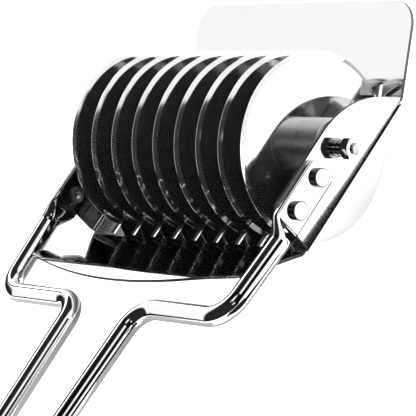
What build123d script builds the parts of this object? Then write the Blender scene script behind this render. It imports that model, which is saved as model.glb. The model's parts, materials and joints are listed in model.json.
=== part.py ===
"""A hand noodle cutter: nine round blades turn on an axle in a folded sheet frame with a bent rod handle.

X runs along the axle, +Y points away from the handle and +Z is up, square to the frame's flat base.
The origin is at the middle of the underside of the whole tool, level with the bottom of the blades.
"""
import os
from math import cos, radians, sin, sqrt, tan

from build123d import *

# Blades
blade_diameter = 55.0
blade_thickness = 1.2
blade_bevel = 1.3
blade_bevel_depth = 0.5
blade_back_bevel = 0.8
blade_land = 0.1
blade_count = 9
blade_pitch = 10.0

# Axle, what is clamped on it, and its bearings in the cheeks
axle_diameter = 6.0
journal_diameter = 4.6
thread_diameter = 3.5
thread_chamfer = 0.4
spacer_diameter = 16.0
collar_diameter = 17.0
collar_chamfer = 0.3
washer_diameter = 14.0
washer_thickness = 0.6
seat_clearance = 0.02
running_clearance = 0.05
end_play = 0.2

# Hex nuts at the axle's ends
nut_across_flats = 6.0
nut_thickness = 3.2
nut_standoff = 2.4
nut_turn = 12.0
axle_end_beyond_nut = 0.7

# Folded sheet frame: base, cheeks, front lip and rear guard
sheet = 1.0
frame_inside_width = 101.0
axle_height_above_base = 10.5
cheek_height = 18.6
cheek_front_reach = 29.0
cheek_corner_radius = 3.0
cheek_arch_radius = 28.5
cheek_arch_lead = 1.0
cheek_bend_radius = 1.0
base_rear_reach = 25.8
lip_corner_lead = 1.65
lip_angle = 36.6
lip_flat_length = 26.0
lip_curl_angle = 24.2
lip_curl_radius = 7.5
lip_front_length = 4.6
lip_crown_radius = 156.0
lip_tip_radius = 1.5
lip_bend_radius = 1.5
guard_angle = 30.0
guard_length = 29.2
guard_corner_radius = 8.0
guard_bend_radius = 3.0

# Clearances of the slots in the base, one slot for each blade
slot_side_clearance = 1.0
slot_front_clearance = 1.8
slot_rear_clearance = 3.0

# Rod handle with flattened ends
rod_diameter = 6.0
rod_height_above_base = 13.2
rod_gap_to_cheek = 0.3
rod_toe_in = 2.4
crank_reach = 62.5
crank_bend_radius = 8.0
grip_spacing = 29.2
loop_spacing = 22.8
loop_flat = 2.4
handle_reach = 157.0
tab_width = 10.4
tab_thickness = 2.4
tab_edge_radius = 1.0
tab_rear_reach = 7.6
tab_shoulder_lead = 0.4
tab_neck_length = 6.4
neck_overlap = 0.8
neck_inset = 0.02
neck_sections = 6

# Rivets through each flattened end and cheek
rivet_diameter = 3.0
rivet_head_diameter = 5.6
rivet_head_height = 1.6
rivet_head_round = 0.3
rivet_clinch_diameter = 5.0
rivet_clinch_height = 0.8
rivet_dimple_diameter = 2.4
rivet_dimple_depth = 1.4
rivet_reaches = {"rear": 12.8, "front": 24.7}

# Heights above the bottom of the blades
axle_z = blade_diameter / 2
base_z = axle_z - axle_height_above_base
cheek_top_z = base_z + cheek_height
rod_z = base_z + rod_height_above_base

# Half widths from the middle of the roller
cheek_inside_x = frame_inside_width / 2
cheek_outside_x = cheek_inside_x + sheet
cheek_bend_outer_radius = cheek_bend_radius + sheet
base_half_width = cheek_outside_x - cheek_bend_outer_radius
stack_half_length = (blade_pitch * (blade_count - 1) + blade_thickness) / 2
collar_outer_x = cheek_inside_x - washer_thickness - end_play
nut_seat_x = cheek_outside_x + nut_standoff
nut_outer_x = nut_seat_x + nut_thickness

# Length of the tool, which puts the origin half way along it
lip_bend_outer_radius = lip_bend_radius + sheet
guard_bend_outer_radius = guard_bend_radius + sheet
lip_corner_reach = cheek_front_reach + lip_corner_lead
guard_corner_reach = base_rear_reach + guard_bend_outer_radius * tan(radians(guard_angle / 2))
rear_reach = guard_corner_reach + guard_length * cos(radians(guard_angle))
axle_y = (handle_reach - rear_reach) / 2


def ahead(reach):
    """Y of a place that far ahead of the axle, on the handle's side."""
    return axle_y - reach


def behind(reach):
    """Y of a place that far behind the axle, on the guard's side."""
    return axle_y + reach


def on_axle(x):
    """Plane across the axle at x, looking along +X."""
    return Plane(origin=(x, axle_y, axle_z), x_dir=(0, 1, 0), z_dir=(1, 0, 0))


def along(x, y, z, side=1):
    """Plane with its X outwards along the axle's direction and its Y up, for turned profiles."""
    return Plane(origin=(x, y, z), x_dir=(side, 0, 0), z_dir=(0, -side, 0))


def keep(builder, name):
    """Label a finished piece and write it to its own file."""
    builder.part.label = name
    export_step(builder.part, f"parts/{name}.step")


os.makedirs("parts", exist_ok=True)
blade_places = [blade_pitch * (i - (blade_count - 1) / 2) for i in range(blade_count)]
sides = {"left": -1, "right": 1}

# Frame sheet: lip, base and guard are one strip bent up at both ends, and the cheeks fold up from its edges
lip_length = lip_flat_length + lip_curl_radius * tan(radians(lip_curl_angle / 2))
curl_reach = lip_corner_reach + lip_length * cos(radians(lip_angle))
curl_z = base_z + lip_length * sin(radians(lip_angle))
lip_front_angle = lip_angle - lip_curl_angle
lip_tip_reach = curl_reach + lip_front_length * cos(radians(lip_front_angle))
lip_tip = (ahead(lip_tip_reach), curl_z + lip_front_length * sin(radians(lip_front_angle)))
guard_tip = (behind(rear_reach), base_z + guard_length * sin(radians(guard_angle)))
lip_front_plane = Plane(
    origin=(0, ahead(curl_reach), curl_z),
    x_dir=(1, 0, 0),
    z_dir=(0, sin(radians(lip_front_angle)), cos(radians(lip_front_angle))),
)
guard_plane = Plane(
    origin=(0, behind(guard_corner_reach), base_z),
    x_dir=(1, 0, 0),
    z_dir=(0, -sin(radians(guard_angle)), cos(radians(guard_angle))),
)
with BuildPart() as frame_sheet:
    with BuildSketch(Plane.XZ.offset(-behind(base_rear_reach))):
        with BuildLine():
            outer_bend_top = (cheek_outside_x, base_z + cheek_bend_outer_radius)
            inner_bend_top = (cheek_inside_x, base_z + cheek_bend_outer_radius)
            outer_bend = RadiusArc((base_half_width, base_z), outer_bend_top, -cheek_bend_outer_radius)
            inner_bend = RadiusArc(inner_bend_top, (base_half_width, base_z + sheet), cheek_bend_radius)
            Polyline(
                outer_bend_top,
                (cheek_outside_x, cheek_top_z),
                (cheek_inside_x, cheek_top_z),
                inner_bend_top,
            )
            Line(inner_bend @ 1, outer_bend @ 0)
        make_face()
        mirror(about=Plane.YZ)
    extrude(amount=base_rear_reach + cheek_front_reach)
    with BuildSketch(Plane.YZ):
        with BuildLine():
            arch_rise = base_z - (cheek_top_z - cheek_arch_radius)
            arch_foot_y = ahead(cheek_arch_lead) + sqrt(cheek_arch_radius**2 - arch_rise**2)
            corner_foot = (ahead(cheek_front_reach), cheek_top_z - cheek_corner_radius)
            corner_top = (ahead(cheek_front_reach - cheek_corner_radius), cheek_top_z)
            arch_top = (ahead(cheek_arch_lead), cheek_top_z)
            RadiusArc(corner_foot, corner_top, cheek_corner_radius)
            Line(corner_top, arch_top)
            RadiusArc(arch_top, (arch_foot_y, base_z), cheek_arch_radius)
            Polyline((arch_foot_y, base_z), (ahead(cheek_front_reach), base_z), corner_foot)
        make_face()
    extrude(amount=cheek_outside_x, both=True, mode=Mode.INTERSECT)
    with BuildSketch(Plane.YZ):
        with BuildLine():
            underside = FilletPolyline(
                lip_tip,
                (ahead(curl_reach), curl_z),
                (ahead(lip_corner_reach), base_z),
                (behind(guard_corner_reach), base_z),
                guard_tip,
                radius=[lip_curl_radius, lip_bend_outer_radius, guard_bend_outer_radius],
            )
            offset(underside, amount=sheet, side=Side.LEFT)
        make_face()
    extrude(amount=base_half_width, both=True)
    with BuildSketch(lip_front_plane):
        with Locations((0, -lip_front_length)):
            Rectangle(2 * cheek_outside_x, 2 * lip_length)
        with Locations((0, lip_crown_radius - lip_front_length)):
            Circle(lip_crown_radius, mode=Mode.SUBTRACT)
    extrude(amount=lip_length, both=True, mode=Mode.SUBTRACT)
    fillet(edges().filter_by(Axis((0, 0, 0), lip_front_plane.z_dir)).sort_by(Axis.Y)[:2], lip_tip_radius)
    fillet(edges().filter_by(Axis((0, 0, 0), guard_plane.z_dir)).sort_by(Axis.Y)[-2:], guard_corner_radius)
    slot_width = blade_thickness + 2 * slot_side_clearance
    slot_length = blade_diameter + slot_front_clearance + slot_rear_clearance
    slot_middle_y = axle_y + (slot_rear_clearance - slot_front_clearance) / 2
    with Locations([(x, slot_middle_y, base_z) for x in blade_places]):
        Box(slot_width, slot_length, 2 * cheek_height, mode=Mode.SUBTRACT)
    with BuildSketch(Plane.YZ):
        with Locations((axle_y, axle_z)):
            Circle(journal_diameter / 2 + running_clearance)
        with Locations([(ahead(reach), rod_z) for reach in rivet_reaches.values()]):
            Circle(rivet_diameter / 2 + seat_clearance)
    extrude(amount=cheek_outside_x, both=True, mode=Mode.SUBTRACT)
keep(frame_sheet, "frame_sheet")

# Handle rod: the +X half is bent and its end flattened, then mirrored into one rod with a loop at its end
rod_x = cheek_outside_x + rod_gap_to_cheek + rod_diameter / 2
tab_shoulder_reach = cheek_front_reach + tab_shoulder_lead
neck_reach = tab_shoulder_reach + tab_neck_length
loop_reach = handle_reach - rod_diameter / 2
with BuildPart() as handle_rod:
    with BuildLine():
        rod_path = FilletPolyline(
            (rod_x, ahead(neck_reach), rod_z),
            (rod_x - rod_toe_in, ahead(crank_reach), rod_z),
            (grip_spacing / 2, ahead(crank_reach), rod_z),
            (loop_spacing / 2, ahead(loop_reach), rod_z),
            (0, ahead(loop_reach), rod_z),
            radius=[crank_bend_radius, crank_bend_radius, (loop_spacing - loop_flat) / 2],
        )
    heading = rod_path % 0
    rod_start = Plane(origin=rod_path @ 0, x_dir=(-heading.Y, heading.X, 0), z_dir=heading)
    with BuildSketch(rod_start):
        Circle(rod_diameter / 2)
    sweep()
    neck_start_reach = neck_reach + neck_overlap
    neck_diameter = rod_diameter - 2 * neck_inset
    neck_corner = neck_diameter / 2 - neck_inset
    tab_middle_x = cheek_outside_x + tab_thickness / 2
    for i in range(neck_sections):
        share = i / (neck_sections - 1)
        flattened = share**2 * (3 - 2 * share)
        reach = neck_start_reach + (tab_shoulder_reach - neck_start_reach) * share
        rod_axis_x = rod_x - rod_toe_in * (reach - neck_reach) / (crank_reach - neck_reach)
        middle_x = rod_axis_x + (tab_middle_x - rod_axis_x) * flattened
        thickness = neck_diameter + (tab_thickness - neck_diameter) * flattened
        width = neck_diameter + (tab_width - neck_diameter) * flattened
        corner = neck_corner + (tab_edge_radius - neck_corner) * flattened
        with BuildSketch(along(middle_x, ahead(reach), rod_z)):
            RectangleRounded(thickness, width, corner)
    loft()
    with BuildSketch(along(tab_middle_x, ahead(tab_shoulder_reach), rod_z)):
        RectangleRounded(tab_thickness, tab_width, tab_edge_radius)
    extrude(amount=tab_rear_reach - tab_shoulder_reach)
    with BuildSketch(Plane.YZ.offset(cheek_outside_x)):
        with Locations((ahead(tab_rear_reach), rod_z)):
            Rectangle(tab_width, 2 * tab_width)
        with Locations((ahead(tab_rear_reach + tab_width / 2), rod_z)):
            Circle(tab_width / 2, mode=Mode.SUBTRACT)
        with Locations([(ahead(reach), rod_z) for reach in rivet_reaches.values()]):
            Circle(rivet_diameter / 2 + seat_clearance)
    extrude(amount=tab_thickness, mode=Mode.SUBTRACT)
    mirror(about=Plane.YZ)
keep(handle_rod, "handle_rod")

# Rivets: a flat head on the flattened rod end, a shank through the cheek and a clinched hollow end inside
for side_name, side in sides.items():
    for place, reach in rivet_reaches.items():
        with BuildPart() as rivet:
            with BuildSketch(along(0, ahead(reach), rod_z, side)):
                with BuildLine():
                    clinch_x = cheek_inside_x - rivet_clinch_height
                    head_x = cheek_outside_x + tab_thickness
                    Polyline(
                        (clinch_x + rivet_dimple_depth, 0),
                        (clinch_x, rivet_dimple_diameter / 2),
                        (clinch_x, rivet_clinch_diameter / 2),
                        (cheek_inside_x, rivet_clinch_diameter / 2),
                        (cheek_inside_x, rivet_diameter / 2),
                        (head_x, rivet_diameter / 2),
                        (head_x, rivet_head_diameter / 2),
                        (head_x + rivet_head_height, rivet_head_diameter / 2),
                        (head_x + rivet_head_height, 0),
                        close=True,
                    )
                make_face()
            revolve(axis=Axis((0, ahead(reach), rod_z), (1, 0, 0)))
            head_rim = edges().filter_by(GeomType.CIRCLE).sort_by(Axis((0, 0, 0), (side, 0, 0)))[-1]
            fillet(head_rim, rivet_head_round)
        keep(rivet, f"rivet_{side_name}_{place}")

# Axle: a thick middle that carries the blades, a journal in each cheek and a threaded end for each nut
with BuildPart() as axle:
    with BuildSketch(along(0, axle_y, axle_z)):
        with BuildLine():
            axle_end_x = nut_outer_x + axle_end_beyond_nut
            Polyline(
                (0, 0),
                (0, axle_diameter / 2),
                (collar_outer_x, axle_diameter / 2),
                (collar_outer_x, journal_diameter / 2),
                (nut_seat_x, journal_diameter / 2),
                (nut_seat_x, thread_diameter / 2),
                (axle_end_x - thread_chamfer, thread_diameter / 2),
                (axle_end_x, thread_diameter / 2 - thread_chamfer),
                (axle_end_x, 0),
                close=True,
            )
        make_face()
        mirror(about=Plane.YZ)
    revolve(axis=Axis((0, axle_y, axle_z), (1, 0, 0)))
keep(axle, "axle")

# Blades: thin discs ground to an edge from both faces, with the wider bevel on the +X face
for i, x in enumerate(blade_places):
    with BuildPart() as blade:
        with BuildSketch(along(x, axle_y, axle_z)):
            with BuildLine():
                bore_radius = axle_diameter / 2 + seat_clearance
                edge_radius = blade_diameter / 2
                edge_x = blade_thickness / 2 - blade_bevel_depth
                Polyline(
                    (-blade_thickness / 2, bore_radius),
                    (-blade_thickness / 2, edge_radius - blade_back_bevel),
                    (edge_x - blade_land, edge_radius),
                    (edge_x, edge_radius),
                    (blade_thickness / 2, edge_radius - blade_bevel),
                    (blade_thickness / 2, bore_radius),
                    close=True,
                )
            make_face()
        revolve(axis=Axis((0, axle_y, axle_z), (1, 0, 0)))
    keep(blade, f"blade_{i + 1}")

# Spacers: sleeves on the axle from each blade to the next
for i, x in enumerate(blade_places[:-1]):
    with BuildPart() as spacer:
        with BuildSketch(on_axle(x + blade_thickness / 2)):
            Circle(spacer_diameter / 2)
            Circle(axle_diameter / 2 + seat_clearance, mode=Mode.SUBTRACT)
        extrude(amount=blade_pitch - blade_thickness)
    keep(spacer, f"spacer_{i + 1}")

# At each end: a collar that clamps the blades, a thrust washer on the cheek and a nut on the axle outside
for side_name, side in sides.items():
    with BuildPart() as end_collar:
        with BuildSketch(on_axle(side * stack_half_length)):
            Circle(collar_diameter / 2)
            Circle(axle_diameter / 2 + seat_clearance, mode=Mode.SUBTRACT)
        extrude(amount=side * (collar_outer_x - stack_half_length))
        outer_end = faces().sort_by(Axis((0, 0, 0), (side, 0, 0)))[-1]
        chamfer(outer_end.outer_wire().edges(), collar_chamfer)
    keep(end_collar, f"end_collar_{side_name}")

    with BuildPart() as thrust_washer:
        with BuildSketch(on_axle(side * cheek_inside_x)):
            Circle(washer_diameter / 2)
            Circle(journal_diameter / 2 + running_clearance, mode=Mode.SUBTRACT)
        extrude(amount=-side * washer_thickness)
    keep(thrust_washer, f"thrust_washer_{side_name}")

    with BuildPart() as axle_nut:
        with BuildSketch(on_axle(side * nut_seat_x)):
            RegularPolygon(nut_across_flats / 2, 6, major_radius=False, rotation=nut_turn)
            Circle(thread_diameter / 2 + seat_clearance, mode=Mode.SUBTRACT)
        extrude(amount=side * nut_thickness)
        with BuildSketch(along(0, axle_y, axle_z, side)):
            with BuildLine():
                corner_radius = nut_across_flats / sqrt(3)
                nut_chamfer = corner_radius - nut_across_flats / 2
                Polyline(
                    (nut_seat_x, 0),
                    (nut_seat_x, nut_across_flats / 2),
                    (nut_seat_x + nut_chamfer, corner_radius),
                    (nut_outer_x - nut_chamfer, corner_radius),
                    (nut_outer_x, nut_across_flats / 2),
                    (nut_outer_x, 0),
                    close=True,
                )
            make_face()
        revolve(axis=Axis((0, axle_y, axle_z), (1, 0, 0)), mode=Mode.INTERSECT)
    keep(axle_nut, f"axle_nut_{side_name}")
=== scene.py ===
import json
from math import cos, hypot, pi, radians, sin

import bmesh
import bpy
from mathutils import Euler, Matrix, Vector
from mathutils.bvhtree import BVHTree


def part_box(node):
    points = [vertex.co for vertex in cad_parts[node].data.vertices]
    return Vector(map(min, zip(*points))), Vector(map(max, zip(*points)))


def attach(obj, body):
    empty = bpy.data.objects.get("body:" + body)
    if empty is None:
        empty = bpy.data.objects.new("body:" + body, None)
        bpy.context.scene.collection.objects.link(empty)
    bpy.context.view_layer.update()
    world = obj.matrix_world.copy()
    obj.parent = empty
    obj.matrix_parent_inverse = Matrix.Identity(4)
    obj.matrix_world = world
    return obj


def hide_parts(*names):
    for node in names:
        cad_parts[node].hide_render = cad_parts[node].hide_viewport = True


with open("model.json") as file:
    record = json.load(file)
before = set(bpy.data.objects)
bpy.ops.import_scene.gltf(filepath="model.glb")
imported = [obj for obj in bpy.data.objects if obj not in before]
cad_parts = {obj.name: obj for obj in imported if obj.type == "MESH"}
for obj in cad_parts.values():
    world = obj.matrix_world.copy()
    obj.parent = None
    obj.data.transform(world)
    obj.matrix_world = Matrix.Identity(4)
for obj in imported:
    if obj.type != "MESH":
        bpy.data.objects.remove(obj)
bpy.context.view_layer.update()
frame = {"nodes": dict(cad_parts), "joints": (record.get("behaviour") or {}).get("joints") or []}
nodes = frame["nodes"]

# Frame sheet: base, cheeks, lip and guard, folded from one blank of 1 mm stainless steel.
# The slots are punched and the outline sheared before folding, and the rims are tumbled round.
# It is then buffed to a mirror by hand, so the faces are bright and the cut edges stay dull. The cut edges
# and rounded rims are also painted much darker than the faces: painted shade that draws dark lines along
# every rim.
sheet_thickness = 0.001
rim_radius, rim_angle = 0.0002, radians(40)
first_blade, blade_pitch = -0.040, 0.010
blade_places = [blade_pitch * i + first_blade for i in range(9)]
# The solid's slots have room to spare, and the real ones are narrower on each side.
slot_half_width, slot_narrowing = 0.0016, 0.0006


def linear(hex_colour):
    """Linear RGBA of an sRGB hex colour."""
    channels = [int(hex_colour[i:i + 2], 16) / 255 for i in (1, 3, 5)]
    return [c / 12.92 if c <= 0.04045 else ((c + 0.055) / 1.055) ** 2.4 for c in channels] + [1.0]


def add(tree, kind, settings=None, values=None, links=None):
    """A node of that kind, with its settings, constant socket values and links from earlier sockets."""
    made = tree.nodes.new(kind)
    for name, value in (settings or {}).items():
        setattr(made, name, value)
    for socket, value in (values or {}).items():
        made.inputs[socket].default_value = value
    for socket, source in (links or {}).items():
        tree.links.new(source, made.inputs[socket])
    return made


def bare_material(name):
    """A new empty material: itself, its node tree, its output and the object's own coordinates."""
    material = bpy.data.materials.new(name)
    material.use_nodes = True
    tree = material.node_tree
    tree.nodes.clear()
    output = add(tree, "ShaderNodeOutputMaterial")
    place = add(tree, "ShaderNodeTexCoord").outputs["Object"]
    return material, tree, output, place


def worked_steel(name, light, dark, gloss, wave, line, along):
    """Steel with slow waves that bend its reflections and fine tool lines that dull them.

    gloss is the lowest and highest roughness, and wave and line are (spacing, depth) in millimetres.
    along scales the lines on each axis, below 1 on the axis that they run along. Real tool lines are
    some hundredths of a millimetre apart, and are drawn several times coarser so that they show.
    """
    material, tree, output, place = bare_material(name)
    waves = add(tree, "ShaderNodeTexNoise", {}, {"Scale": 1000 / wave[0], "Detail": 1.0, "Roughness": 0.4},
                {"Vector": place})
    stretch = add(tree, "ShaderNodeMapping", {}, {"Scale": along}, {"Vector": place})
    lines = add(tree, "ShaderNodeTexNoise", {}, {"Scale": 1000 / line[0], "Detail": 2.0, "Roughness": 0.6},
                {"Vector": stretch.outputs["Vector"]})
    tint = add(tree, "ShaderNodeMix", {"data_type": "RGBA"}, {6: linear(dark), 7: linear(light)},
               {0: waves.outputs["Fac"]})
    shine = add(tree, "ShaderNodeMapRange", {},
                {"From Min": 0.3, "From Max": 0.7, "To Min": gloss[0], "To Max": gloss[1]},
                {"Value": lines.outputs["Fac"]})
    swell = add(tree, "ShaderNodeBump", {}, {"Distance": wave[1] / 1000}, {"Height": waves.outputs["Fac"]})
    scratch = add(tree, "ShaderNodeBump", {}, {"Distance": line[1] / 1000},
                  {"Height": lines.outputs["Fac"], "Normal": swell.outputs["Normal"]})
    steel = add(tree, "ShaderNodeBsdfPrincipled", {}, {"Metallic": 1.0},
                {"Base Color": tint.outputs[2], "Roughness": shine.outputs["Result"],
                 "Normal": scratch.outputs["Normal"]})
    tree.links.new(steel.outputs["BSDF"], output.inputs["Surface"])
    return material


def finish_piece(name, shape, materials, body, node, sharp):
    """Make the mesh an object that stands for that node, rides on the body and has those materials.

    It is shaded smooth but for edges of more than sharp degrees.
    """
    mesh = bpy.data.meshes.new(name)
    for face in shape.faces:
        face.smooth = True
    shape.to_mesh(mesh)
    shape.free()
    mesh.set_sharp_from_angle(angle=radians(sharp))
    for material in materials:
        mesh.materials.append(material)
    made = bpy.data.objects.new(name, mesh)
    bpy.context.scene.collection.objects.link(made)
    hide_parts(node)
    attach(made, body)
    return made


# Mirror-buffed stainless steel: clear reflections that swim a little in the flats,
# with fine buffing lines across the tool.
buffed_sheet = worked_steel("mirror_buffed_stainless_sheet", "#CBCBCB", "#C5C5C5", (0.05, 0.10),
                            (24.0, 0.004), (0.25, 0.0004), (0.05, 1.0, 1.0))
# Sheared stainless steel: the same metal, rougher, and painted far darker than the faces. This painted
# shade draws the dark lines along the rims.
edge_steel_painted_dark = worked_steel("stainless_edge_painted_dark", "#575757", "#3E3E3E", (0.38, 0.52),
                            (3.0, 0.010), (0.20, 0.004), (1.0, 1.0, 1.0))
buffed, painted_dark_edge = 0, 1

shape = bmesh.new()
shape.from_mesh(nodes["frame_sheet"].data)
bmesh.ops.remove_doubles(shape, verts=shape.verts, dist=1e-6)
for x in blade_places:
    for side in (-1, 1):
        wall = [v for v in shape.verts if abs(v.co.x - x - side * slot_half_width) < 1e-5]
        bmesh.ops.translate(shape, verts=wall, vec=(-side * slot_narrowing, 0, 0))
# A face with the sheet's other face close behind it is a buffed one, and the others are cut edges.
solid = BVHTree.FromBMesh(shape)
just_inside, close_behind = 2e-5, 1.4 * sheet_thickness
for face in shape.faces:
    middle = face.calc_center_median() - face.normal * just_inside
    behind = solid.ray_cast(middle, -face.normal, close_behind)[0]
    face.material_index = buffed if behind else painted_dark_edge
bmesh.ops.dissolve_limit(shape, angle_limit=radians(0.5), verts=shape.verts, edges=shape.edges,
                         delimit={"MATERIAL"})
rims = [e for e in shape.edges if e.calc_face_angle(0) > rim_angle]
rounded = bmesh.ops.bevel(shape, geom=rims, offset=rim_radius, offset_type="OFFSET", affect="EDGES",
                          segments=3, profile=0.5, material=-1, clamp_overlap=True)
# The rounded rims take the darker painted edge steel too, so each rim shows a painted dark line.
for face in rounded["faces"]:
    face.material_index = painted_dark_edge
folded = finish_piece("folded_sheet", shape, [buffed_sheet, edge_steel_painted_dark], "frame",
                      "frame_sheet", sharp=50)
folded.modifiers.new("flats_stay_flat", "WEIGHTED_NORMAL").weight = 100

# Handle: one 6 mm stainless rod, drawn bright and polished, then bent cold round formers.
# Both ends are pressed flat and riveted to the outside of the cheeks.


def dress(material, *names):
    """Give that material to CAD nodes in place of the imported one."""
    for name in names:
        nodes[name].data.materials.clear()
        nodes[name].data.materials.append(material)


# Drawn and polished stainless rod: the clearest mirror on the tool, with faint draw lines along it.
drawn_rod = worked_steel("drawn_and_polished_stainless_rod", "#D0D0D0", "#C8C8C8", (0.02, 0.05),
                         (18.0, 0.002), (0.3, 0.0003), (1.0, 0.1, 1.0))
dress(drawn_rod, "handle_rod")

# Rivets: four stainless rivets, two through each cheek and the flattened rod end on it.
# Their heads are flat with rounded rims. The inside ends are dimpled and spread by the setting tool,
# which leaves them duller than the heads.
dimple_radius, shank_radius, clinch_radius, head_radius = 0.0012, 0.0015, 0.0025, 0.0028
dimple_depth = 0.0014
clinch_round, head_round = 0.0002, 0.0003
# Distances of a rivet's steps from the middle of the tool.
clinch_end, cheek_face, tab_face, head_top = 0.0497, 0.0505, 0.0539, 0.0555
rivet_profile = [(clinch_end + dimple_depth, 0), (clinch_end, dimple_radius), (clinch_end, clinch_radius),
                 (cheek_face, clinch_radius), (cheek_face, shank_radius), (tab_face, shank_radius),
                 (tab_face, head_radius), (head_top, head_radius), (head_top, 0)]
rivet_rounds = [((head_top, head_radius), head_round), ((clinch_end, clinch_radius), clinch_round)]
rivet_axes = {}
for end_name in ("front", "rear"):
    low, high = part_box(f"rivet_right_{end_name}")
    rivet_axes[end_name] = (low[1] + high[1]) / 2, (low[2] + high[2]) / 2

# Set stainless rivet: a bright head whose outer rim is painted dark grey, a painted shade that outlines it,
# and is rougher too; and a dull inner end.
head_gloss, pressed_gloss = 0.04, 0.34
pressed_from, pressed_to = 0.0509, 0.0504
rim_from, rim_to, rim_dulling = 0.00225, 0.0025, 0.25
speckle_mm, dent_depth = 0.5, 0.0000008
rivet_steel, tree, output, place = bare_material("set_stainless_rivet")
across = add(tree, "ShaderNodeSeparateXYZ", {}, {}, {"Vector": place}).outputs["X"]
from_middle = add(tree, "ShaderNodeMath", {"operation": "ABSOLUTE"}, {}, {0: across}).outputs["Value"]
pressed = add(tree, "ShaderNodeMapRange", {},
              {"From Min": pressed_from, "From Max": pressed_to, "To Min": head_gloss,
               "To Max": pressed_gloss},
              {"Value": from_middle})
speckle = add(tree, "ShaderNodeTexNoise", {}, {"Scale": 1000 / speckle_mm, "Detail": 2.0},
              {"Vector": place})
tint = add(tree, "ShaderNodeMix", {"data_type": "RGBA"}, {6: linear("#C4C4C4"), 7: linear("#D0D0D0")},
           {0: speckle.outputs["Fac"]})
reaches = []
for y, z in rivet_axes.values():
    from_axis = add(tree, "ShaderNodeMapping", {}, {"Location": (0, -y, -z), "Scale": (0, 1, 1)},
                    {"Vector": place})
    reaches.append(add(tree, "ShaderNodeVectorMath", {"operation": "LENGTH"}, {},
                       {0: from_axis.outputs["Vector"]}).outputs["Value"])
nearest = add(tree, "ShaderNodeMath", {"operation": "MINIMUM"}, {}, {0: reaches[0], 1: reaches[1]})
# From 2.25 mm out from each rivet's axis the colour turns dark grey, a painted shade round the head's rim
# and the inner end, and the roughness rises.
rim_shade_mask = add(tree, "ShaderNodeMapRange", {}, {"From Min": rim_from, "From Max": rim_to},
          {"Value": nearest.outputs["Value"]})
painted_shade_rim = add(tree, "ShaderNodeMix", {"data_type": "RGBA"}, {7: linear("#5E5F62")},
           {0: rim_shade_mask.outputs["Result"], 6: tint.outputs[2]})
dull = add(tree, "ShaderNodeMath", {"operation": "MULTIPLY_ADD"}, {1: rim_dulling},
           {0: rim_shade_mask.outputs["Result"], 2: pressed.outputs["Result"]})
dent = add(tree, "ShaderNodeBump", {}, {"Distance": dent_depth}, {"Height": speckle.outputs["Fac"]})
steel = add(tree, "ShaderNodeBsdfPrincipled", {}, {"Metallic": 1.0},
            {"Base Color": painted_shade_rim.outputs[2], "Roughness": dull.outputs["Value"],
             "Normal": dent.outputs["Normal"]})
tree.links.new(steel.outputs["BSDF"], output.inputs["Surface"])

for side, side_name in ((-1, "left"), (1, "right")):
    for end_name, (y, z) in rivet_axes.items():
        shape = bmesh.new()
        ring = [shape.verts.new((side * along, y + out, z)) for along, out in rivet_profile]
        outline = [shape.edges.new(ends) for ends in zip(ring, ring[1:])]
        bmesh.ops.spin(shape, geom=ring + outline, cent=(0, y, z), axis=(1, 0, 0), angle=2 * pi, steps=72,
                       use_merge=True)
        bmesh.ops.remove_doubles(shape, verts=shape.verts, dist=1e-7)
        for (along, out), rounding in rivet_rounds:
            corner = [e for e in shape.edges if all(
                abs(abs(v.co.x) - along) + abs(hypot(v.co.y - y, v.co.z - z) - out) < 1e-6
                for v in e.verts)]
            bmesh.ops.bevel(shape, geom=corner, offset=rounding, offset_type="OFFSET", affect="EDGES",
                            segments=4, profile=0.5, material=-1, clamp_overlap=True)
        bmesh.ops.recalc_face_normals(shape, faces=shape.faces)
        finish_piece(f"set_rivet_{side_name}_{end_name}", shape, [rivet_steel], "frame",
                     f"rivet_{side_name}_{end_name}", sharp=35)

# Axle: one steel bar through the whole roller, turned on a lathe.
# It has a journal in each cheek and a thread at each end for the nuts.
# Turned steel: fine rings round the bar from the lathe tool, so highlights spread along it.
turned_steel = worked_steel("turned_steel", "#989898", "#8A8A8A", (0.10, 0.18), (6.0, 0.001),
                            (0.2, 0.0006), (1.0, 0.1, 0.1))
dress(turned_steel, "axle")

# Blades: nine stainless discs, stamped, ground to an edge from both faces and polished flat.
# They are clamped on the axle with sleeves between them, and turn with it.
axle_y, axle_z = frame["joints"][0]["pos_m"][1:]
half_thickness, bore_radius, blade_radius = 0.0006, 0.00302, 0.0275
back_ground_from, ground_from = 0.0267, 0.0262
# Places along the axle and out from it. The front ground face is hollow, as the grinding wheel leaves it.
disc_profile = [(-half_thickness, bore_radius), (-half_thickness, back_ground_from),
                (0.00005, blade_radius), (0.0001496, blade_radius), (0.0002523, 0.027175),
                (0.0003618, 0.02685), (0.0004774, 0.026525), (half_thickness, ground_from),
                (half_thickness, bore_radius)]

# Polished stainless blade: dark and clear on the flats, with rings from the polishing wheel,
# a finer ground edge and a trace of haze, which is why it isn't metallic to the full.
# The rings are 0.25 mm apart, coarser than the real ones so that they show.
ring_mm, cloud_mm, scratch_depth = 0.25, 14.0, 0.0000003
flat_gloss, edge_gloss = (0.04, 0.09), (0.05, 0.08)
blade_steel, tree, output, place = bare_material("polished_stainless_blade")
centre = add(tree, "ShaderNodeMapping", {}, {"Location": (0, -axle_y, -axle_z)}, {"Vector": place})
axes = add(tree, "ShaderNodeSeparateXYZ", {}, {}, {"Vector": centre.outputs["Vector"]})
flat = add(tree, "ShaderNodeCombineXYZ", {}, {}, {"Y": axes.outputs["Y"], "Z": axes.outputs["Z"]})
radius = add(tree, "ShaderNodeVectorMath", {"operation": "LENGTH"}, {},
             {0: flat.outputs["Vector"]}).outputs["Value"]
ground = add(tree, "ShaderNodeMapRange", {},
             {"From Min": ground_from - 0.00005, "From Max": ground_from + 0.00005}, {"Value": radius})
rings = add(tree, "ShaderNodeMath", {"operation": "MULTIPLY"}, {1: 1000 / ring_mm}, {0: radius})
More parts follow.
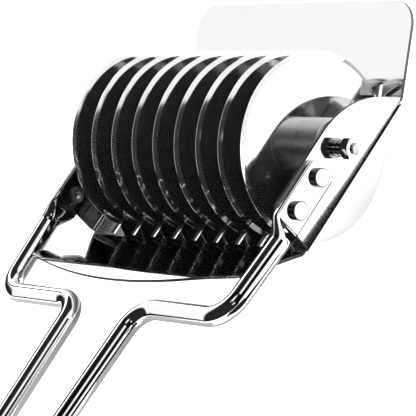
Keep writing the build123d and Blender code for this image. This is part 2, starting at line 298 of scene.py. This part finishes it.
lines = add(tree, "ShaderNodeTexNoise", {"noise_dimensions": "1D"}, {"Scale": 1.0, "Detail": 2.0},
            {"W": rings.outputs["Value"]})
cloud = add(tree, "ShaderNodeTexNoise", {}, {"Scale": 1000 / cloud_mm, "Detail": 2.0}, {"Vector": place})
tint = add(tree, "ShaderNodeMix", {"data_type": "RGBA"}, {6: linear("#C0C0C0"), 7: linear("#CACACA")},
           {0: cloud.outputs["Fac"]})
smooth = add(tree, "ShaderNodeMapRange", {}, {"To Min": flat_gloss[0], "To Max": flat_gloss[1]},
             {"Value": lines.outputs["Fac"]})
rough = add(tree, "ShaderNodeMapRange", {}, {"To Min": edge_gloss[0], "To Max": edge_gloss[1]},
            {"Value": lines.outputs["Fac"]})
gloss = add(tree, "ShaderNodeMix", {}, {}, {0: ground.outputs["Result"], 2: smooth.outputs["Result"],
                                            3: rough.outputs["Result"]})
scratch = add(tree, "ShaderNodeBump", {}, {"Distance": scratch_depth}, {"Height": lines.outputs["Fac"]})
steel = add(tree, "ShaderNodeBsdfPrincipled", {}, {"Metallic": 0.982},
            {"Base Color": tint.outputs[2], "Roughness": gloss.outputs[0],
             "Normal": scratch.outputs["Normal"]})
tree.links.new(steel.outputs["BSDF"], output.inputs["Surface"])

for number, x in enumerate(blade_places, 1):
    shape = bmesh.new()
    ring = [shape.verts.new((x + along, axle_y + out, axle_z)) for along, out in disc_profile]
    outline = [shape.edges.new((a, b)) for a, b in zip(ring, ring[1:] + ring[:1])]
    bmesh.ops.spin(shape, geom=ring + outline, cent=(x, axle_y, axle_z), axis=(1, 0, 0), angle=2 * pi,
                   steps=180, use_merge=True)
    bmesh.ops.remove_doubles(shape, verts=shape.verts, dist=1e-7)
    bmesh.ops.recalc_face_normals(shape, faces=shape.faces)
    finish_piece(f"cutting_disc_{number}", shape, [blade_steel], "roller",
                 f"blade_{number}", sharp=12)

# Spacers: eight nylon sleeves on the axle, one between each blade and the next.
# They are moulded, and are clamped with the blades.
# Moulded black nylon: near black with a soft sheen and a fine leathery grain from the mould.
grain_mm, cloud_mm, grain_depth = 0.5, 6.0, 0.00002
nylon_ior = 1.53
black_nylon, tree, output, place = bare_material("moulded_black_nylon")
grain = add(tree, "ShaderNodeTexNoise", {}, {"Scale": 1000 / grain_mm, "Detail": 3.0}, {"Vector": place})
cloud = add(tree, "ShaderNodeTexNoise", {}, {"Scale": 1000 / cloud_mm}, {"Vector": place})
tint = add(tree, "ShaderNodeMix", {"data_type": "RGBA"}, {6: linear("#121213"), 7: linear("#1B1B1D")},
           {0: cloud.outputs["Fac"]})
shine = add(tree, "ShaderNodeMapRange", {}, {"To Min": 0.38, "To Max": 0.56},
            {"Value": grain.outputs["Fac"]})
dent = add(tree, "ShaderNodeBump", {}, {"Distance": grain_depth}, {"Height": grain.outputs["Fac"]})
nylon = add(tree, "ShaderNodeBsdfPrincipled", {}, {"IOR": nylon_ior},
            {"Base Color": tint.outputs[2], "Roughness": shine.outputs["Result"],
             "Normal": dent.outputs["Normal"]})
tree.links.new(nylon.outputs["BSDF"], output.inputs["Surface"])
dress(black_nylon, *[f"spacer_{number}" for number in range(1, 9)])

# End collars: two steel rings on the axle, turned and bored, between the end blades and the cheeks.
# They clamp the stack of blades and sleeves from both ends.
# Finely turned steel: tool rings too fine to see give an even, soft grey that fades round the ring.
collar_steel = worked_steel("finely_turned_steel", "#D6D6D6", "#C8C8C8", (0.34, 0.44), (6.0, 0.001),
                            (0.2, 0.0006), (1.0, 0.1, 0.1))
dress(collar_steel, "end_collar_left", "end_collar_right")

# Thrust washers: two thin rings stamped from white nylon sheet.
# They lie loose on the axle and keep the turning collars off the cheeks.
# White nylon: milky, with a soft shine and faint grey rubbed into it by the collar.
grain_mm, grain_depth = 0.6, 0.00001
white_nylon, tree, output, place = bare_material("white_nylon_sheet")
grain = add(tree, "ShaderNodeTexNoise", {}, {"Scale": 1000 / grain_mm, "Detail": 3.0}, {"Vector": place})
tint = add(tree, "ShaderNodeMix", {"data_type": "RGBA"}, {6: linear("#C9C9C6"), 7: linear("#E6E6E2")},
           {0: grain.outputs["Fac"]})
shine = add(tree, "ShaderNodeMapRange", {}, {"To Min": 0.35, "To Max": 0.5},
            {"Value": grain.outputs["Fac"]})
dent = add(tree, "ShaderNodeBump", {}, {"Distance": grain_depth}, {"Height": grain.outputs["Fac"]})
nylon = add(tree, "ShaderNodeBsdfPrincipled", {}, {"IOR": nylon_ior},
            {"Base Color": tint.outputs[2], "Roughness": shine.outputs["Result"],
             "Normal": dent.outputs["Normal"]})
tree.links.new(nylon.outputs["BSDF"], output.inputs["Surface"])
dress(white_nylon, "thrust_washer_left", "thrust_washer_right")

# Axle nuts: two small hex nuts of plated steel, chamfered on both ends.
# One is screwed on each end of the axle, a little off the cheek, and turns with it.
# Bright nickel plate over steel: a clean grey mirror, dulled a little by fine lines.
plated_nut = worked_steel("nickel_plated_steel_nut", "#D0D0D0", "#C4C4C4", (0.04, 0.09), (6.0, 0.001),
                          (0.2, 0.0006), (1.0, 0.1, 0.1))
dress(plated_nut, "axle_nut_left", "axle_nut_right")

# Floor: one sheet of plain white paper under the tool, three metres square.
# It is lit from behind as well, so that it stays white all over.
# White paper: matt and even, with a faint cloud of fibres.
floor_reach = 1.5
fibre_mm = 2.0
glow_elsewhere, glow_seen = 0.75, 0.9
floor_mesh = bpy.data.meshes.new("floor")
shape = bmesh.new()
bmesh.ops.create_grid(shape, x_segments=1, y_segments=1, size=floor_reach)
shape.to_mesh(floor_mesh)
shape.free()
floor = bpy.data.objects.new("floor", floor_mesh)
bpy.context.scene.collection.objects.link(floor)
paper, tree, output, place = bare_material("white_paper")
fibre = add(tree, "ShaderNodeTexNoise", {}, {"Scale": 1000 / fibre_mm, "Detail": 3.0}, {"Vector": place})
tint = add(tree, "ShaderNodeMix", {"data_type": "RGBA"}, {6: linear("#F0F0F0"), 7: linear("#F4F4F4")},
           {0: fibre.outputs["Fac"]})
seen = add(tree, "ShaderNodeLightPath").outputs["Is Camera Ray"]
lift = add(tree, "ShaderNodeMapRange", {}, {"To Min": glow_elsewhere, "To Max": glow_seen},
           {"Value": seen})
sheet = add(tree, "ShaderNodeBsdfPrincipled", {}, {"Roughness": 0.9, "Emission Color": linear("#FFFFFF")},
            {"Base Color": tint.outputs[2], "Emission Strength": lift.outputs["Result"]})
tree.links.new(sheet.outputs["BSDF"], output.inputs["Surface"])
floor_mesh.materials.append(paper)

# Cards: pieces of felt, cut to shape and laid round the tool, seen only in its polished faces.
# They give the steel something dark to mirror, as a photographer's flags do. Three of them are painted
# shadow:
# the bend, cheek and handle cards lie where the tool's own shadow falls on the floor, and stand in for it.
# Black and grey felt: quite matt, with a faint cloud of fibres.
fibre_mm = 1.0
felts = {}
for name, dark, light in (("black_felt_and_painted_shadow", "#181818", "#1E1E1E"), ("grey_felt_and_painted_shadow", "#A0A0A0", "#A8A8A8")):
    felts[name], tree, output, place = bare_material(name)
    fibre = add(tree, "ShaderNodeTexNoise", {}, {"Scale": 1000 / fibre_mm, "Detail": 3.0},
                {"Vector": place})
    tint = add(tree, "ShaderNodeMix", {"data_type": "RGBA"}, {6: linear(dark), 7: linear(light)},
               {0: fibre.outputs["Fac"]})
    felt = add(tree, "ShaderNodeBsdfPrincipled", {}, {"Roughness": 1.0, "Specular IOR Level": 0.0},
               {"Base Color": tint.outputs[2]})
    tree.links.new(felt.outputs["BSDF"], output.inputs["Surface"])
on_floor, off_floor = 0.0005, 0.012
cards = {
    "floor_card": ("black_felt_and_painted_shadow", on_floor, [
        (0.070, -0.060), (0.330, -0.300), (0.520, -0.300), (0.520, -0.020), (0.081, 0.024)]),
    # Painted shadow: a dark strip held under the base's edge, where its contact shadow falls, seen only in
    # the steel.
    "painted_shadow_under_bend": ("black_felt_and_painted_shadow", off_floor, [
        (0.048, 0.018), (0.058, 0.018), (0.058, 0.080), (0.048, 0.080)]),
    # Painted shadow: the tool's own shadow on the floor beside the right cheek, seen only in the steel.
    "painted_shadow_beside_cheek": ("black_felt_and_painted_shadow", on_floor, [
        (0.0665, 0.028), (0.0815, 0.030), (0.0787, 0.062), (0.0772, 0.105), (0.0665, 0.105)]),
    "sill_card": ("grey_felt_and_painted_shadow", on_floor, [
        (0.046, 0.0105), (0.0660, 0.0105), (0.0660, 0.0220), (0.046, 0.0220)]),
    # Painted shadow: grey where the tool's shadow falls on the floor under the handle, seen only in the
    # steel.
    "painted_shadow_under_handle": ("grey_felt_and_painted_shadow", on_floor, [
        (-0.180, -0.110), (0.030, -0.110), (0.030, -0.035), (0.060, -0.020), (0.060, 0.010),
        (0.030, 0.030), (-0.180, 0.030)]),
}
for name, (felt_name, height, corners) in cards.items():
    card_mesh = bpy.data.meshes.new(name)
    shape = bmesh.new()
    shape.faces.new([shape.verts.new((x, y, height)) for x, y in corners])
    shape.to_mesh(card_mesh)
    shape.free()
    card_mesh.materials.append(felts[felt_name])
    card = bpy.data.objects.new(name, card_mesh)
    bpy.context.scene.collection.objects.link(card)
    card.visible_camera = False
    card.visible_diffuse = False
    card.visible_shadow = False

# Overhead softbox: a square lamp with a cloth front, hung a metre above the tool.
# It lights what isn't a mirror, and is kept out of the reflections.
softbox = bpy.data.lights.new("overhead_softbox", "AREA")
softbox.shape = "RECTANGLE"
softbox.size = 1.4
softbox.size_y = 1.4
softbox.energy = 14.0
overhead = bpy.data.objects.new("overhead_softbox", softbox)
overhead.location = (0.2, 0.0, 1.0)
overhead.visible_glossy = False
bpy.context.scene.collection.objects.link(overhead)

# Studio: white walls all round the tool, with a brighter box on the left behind it.
# Black cloth behind the camera, overhead and at the sides gives the steel its dark stripes.
wall_light, box_light, cloth_light = 1.6, 4.0, 0.02
box_turn, box_rise = radians(-120), radians(30)
box_core, box_edge = radians(12), radians(24)
box_way = (sin(box_turn) * cos(box_rise), -cos(box_turn) * cos(box_rise), sin(box_rise))
right, back, up, back_and_down = (1, 0, 0), (0, 1, 0), (0, 0, 1), (0, 1, -0.5)
no_low, no_high = -1.5, 1.5
# Each part of the studio is bounded along a few ways, by a low and a high end and how softly it ends.
black_cloths = [
    # Low down at the left.
    [(up, -0.30, 0.13, 0.05), (right, no_low, -0.2, 0.1)],
    # Overhead, from the middle to the back.
    [(right, -0.60, no_high, 0.03), (right, no_low, 0.42, 0.10), (back, 0.12, 0.85, 0.05),
     (up, 0.50, no_high, 0.05)],
    # Behind the camera, from the floor to overhead.
    [(back_and_down, -2.0, -0.2, 0.04), (right, -0.60, no_high, 0.05)],
    # Straight to the left.
    [(right, no_low, -0.85, 0.03)],
    # A small one up at the left.
    [(right, no_low, -0.79, 0.01), (back, 0.26, 0.42, 0.02), (up, 0.40, 0.56, 0.02)],
    # At the right, low and then higher.
    [(right, 0.80, no_high, 0.03), (back, -0.30, 0.325, 0.03), (up, 0.17, 0.60, 0.03)],
    [(right, 0.70, no_high, 0.03), (back, -0.45, 0.43, 0.03), (up, 0.30, 0.80, 0.03)],
]
# Two small openings in the cloth behind the camera: one overhead and one beside the camera.
openings = [
    [(right, 0.20, 0.46, 0.06), (back, -0.12, 0.12, 0.06), (up, 0.86, no_high, 0.03)],
    [(right, 0.66, 0.82, 0.03), (back, -0.36, -0.225, 0.015), (up, 0.53, 0.71, 0.03)],
]

world = bpy.data.worlds.new("studio")
bpy.context.scene.world = world
world.use_nodes = True
sky = world.node_tree
sky.nodes.clear()
look = add(sky, "ShaderNodeTexCoord").outputs["Generated"]


def part_of_studio(bounds):
    """How far a direction lies in that part of the studio: 0 outside it, 1 inside."""
    inside = None
    for way, low, high, soft in bounds:
        along = add(sky, "ShaderNodeVectorMath", {"operation": "DOT_PRODUCT"}, {1: way},
                    {0: look}).outputs["Value"]
        for end, turn in ((low, 1), (high, -1)):
            step = add(sky, "ShaderNodeMapRange", {"interpolation_type": "SMOOTHSTEP"},
                       {"From Min": end - turn * soft, "From Max": end + turn * soft},
                       {"Value": along}).outputs["Result"]
            inside = step if inside is None else add(
                sky, "ShaderNodeMath", {"operation": "MULTIPLY"}, {}, {0: inside, 1: step}).outputs["Value"]
    return inside


facing = add(sky, "ShaderNodeVectorMath", {"operation": "DOT_PRODUCT"}, {1: box_way}, {0: look})
shine = add(sky, "ShaderNodeMapRange", {"interpolation_type": "SMOOTHSTEP"},
            {"From Min": cos(box_edge), "From Max": cos(box_core), "To Min": wall_light,
             "To Max": box_light},
            {"Value": facing.outputs["Value"]}).outputs["Result"]
for bounds in black_cloths:
    kept = add(sky, "ShaderNodeMapRange", {}, {"To Min": 1.0, "To Max": cloth_light},
               {"Value": part_of_studio(bounds)})
    shine = add(sky, "ShaderNodeMath", {"operation": "MULTIPLY"}, {},
                {0: shine, 1: kept.outputs["Result"]}).outputs["Value"]
for bounds in openings:
    glow = add(sky, "ShaderNodeMath", {"operation": "MULTIPLY"}, {1: wall_light},
               {0: part_of_studio(bounds)})
    shine = add(sky, "ShaderNodeMath", {"operation": "MAXIMUM"}, {},
                {0: shine, 1: glow.outputs["Value"]}).outputs["Value"]
# The cloth shows only in polished faces: seen straight on, or lighting a matt face, the walls are white.
rays = add(sky, "ShaderNodeLightPath")
for kind, least in (("Is Camera Ray", 2.0), ("Is Diffuse Ray", wall_light)):
    white = add(sky, "ShaderNodeMath", {"operation": "MULTIPLY"}, {1: least}, {0: rays.outputs[kind]})
    shine = add(sky, "ShaderNodeMath", {"operation": "MAXIMUM"}, {},
                {0: shine, 1: white.outputs["Value"]}).outputs["Value"]
background = add(sky, "ShaderNodeBackground", {}, {"Color": linear("#FFFFFF")}, {"Strength": shine})
add(sky, "ShaderNodeOutputWorld", {}, {}, {"Surface": background.outputs["Background"]})
bpy.context.scene.view_settings.view_transform = "Standard"

# Camera: a long lens on a stand, looking down on the tool's right front corner.
# It is rolled to one side, as the picture is.
aim = Vector((-0.00243, axle_y - 0.01761, 0.01851))
look_down, look_round, roll = radians(30.659), radians(64.706), radians(-43.018)
camera_distance = 0.7519
turn = Euler((radians(90) - look_down, 0, 0)).to_matrix()
turn = Matrix.Rotation(look_round, 3, "Z") @ turn @ Matrix.Rotation(roll, 3, "Z")
lens = bpy.data.cameras.new("camera")
lens.lens = 218.72
lens.sensor_width = 36.0
camera = bpy.data.objects.new("camera", lens)
camera.matrix_world = Matrix.Translation(aim + turn @ Vector((0, 0, camera_distance))) @ turn.to_4x4()
bpy.context.scene.collection.objects.link(camera)
bpy.context.scene.camera = camera
